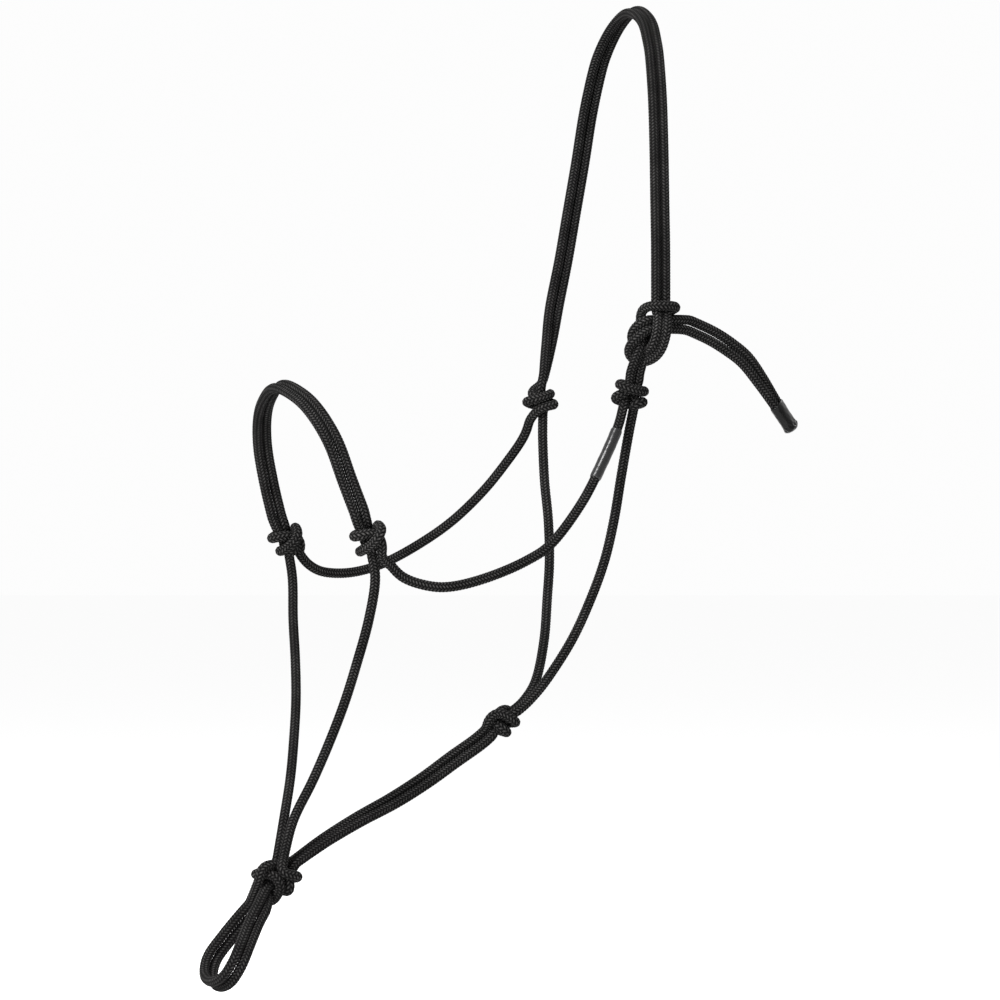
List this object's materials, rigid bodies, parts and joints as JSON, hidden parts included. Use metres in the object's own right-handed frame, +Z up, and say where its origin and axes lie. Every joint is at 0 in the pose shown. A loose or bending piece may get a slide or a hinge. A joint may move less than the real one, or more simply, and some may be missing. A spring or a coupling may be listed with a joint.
{
  "type": "rope halter",
  "caption": "Knotted rope halter for a horse: crown, noseband, cheek, throat, jaw and chin strands of thin braided rope, tied with a sheet bend, with a tail and a lead loop.",
  "frame": {"origin": "the poll seat: the underside of the crown's highest point, where it lies on the horse's poll", "axes": "+X from the nose towards the neck, +Y to the horse's off (right) side, +Z up, with the halter in the shape it has on a head held level"},
  "size_m": [0.3873, 0.1866, 0.6489],
  "materials": {
    "rope": "black braided polyester rope, fine herringbone weave",
    "knot_rope": "the same rope, pulled tight in knots",
    "cap_plastic": "black dipped plastic tip, glossy",
    "sleeve_plastic": "dark grey shrink sleeve, satin, unmarked"
  },
  "bodies": {
    "crown": {"crown_front_strand": "rope", "crown_rear_strand": "rope", "sheet_bend": "knot_rope", "eye_loop": "rope"},
    "halter": {"near_cheek_knot": "knot_rope", "far_cheek_knot": "knot_rope", "near_cheek_strand": "rope", "far_cheek_strand": "rope", "label_sleeve": "sleeve_plastic", "near_throat_strand": "rope", "far_throat_strand": "rope", "throat_knot": "knot_rope", "jaw_upper_strand": "rope", "jaw_lower_strand": "rope", "fiador_knot": "knot_rope", "near_chin_strand": "rope", "far_chin_strand": "rope", "near_nose_knot": "knot_rope", "far_nose_knot": "knot_rope"},
    "noseband": {"noseband_front_strand": "rope", "noseband_rear_strand": "rope"},
    "lead_loop": {"lead_loop_front_bight": "rope", "lead_loop_rear_bight": "rope"},
    "tail": {"tail_upper_strand": "rope", "tail_lower_strand": "rope", "tail_cap": "cap_plastic"}
  },
  "joints": [
    {"name": "cheek_knot_fold", "type": "hinge", "parent": "crown", "child": "halter", "pos_m": [-0.033, 0, -0.236], "axis": [0, 1, 0], "range_deg": [-40, 50], "stiffness_Nm_per_rad": 1.5, "springref_deg": 5.67},
    {"name": "noseband_fold", "type": "hinge", "parent": "halter", "child": "noseband", "pos_m": [-0.232, 0, -0.327], "axis": [0, 1, 0], "range_deg": [-45, 35], "stiffness_Nm_per_rad": 0.15, "springref_deg": 0.63},
    {"name": "lead_loop_swing", "type": "hinge", "parent": "halter", "child": "lead_loop", "pos_m": [-0.275, 0, -0.596], "axis": [0, 1, 0], "range_deg": [-45, 60], "stiffness_Nm_per_rad": 0.15, "springref_deg": 0.37},
    {"name": "tail_swing", "type": "hinge", "parent": "crown", "child": "tail", "pos_m": [0.01, -0.079, -0.216], "axis": [0, 1, 0], "range_deg": [-25, 35], "stiffness_Nm_per_rad": 0.15, "springref_deg": -1.89}
  ]
}
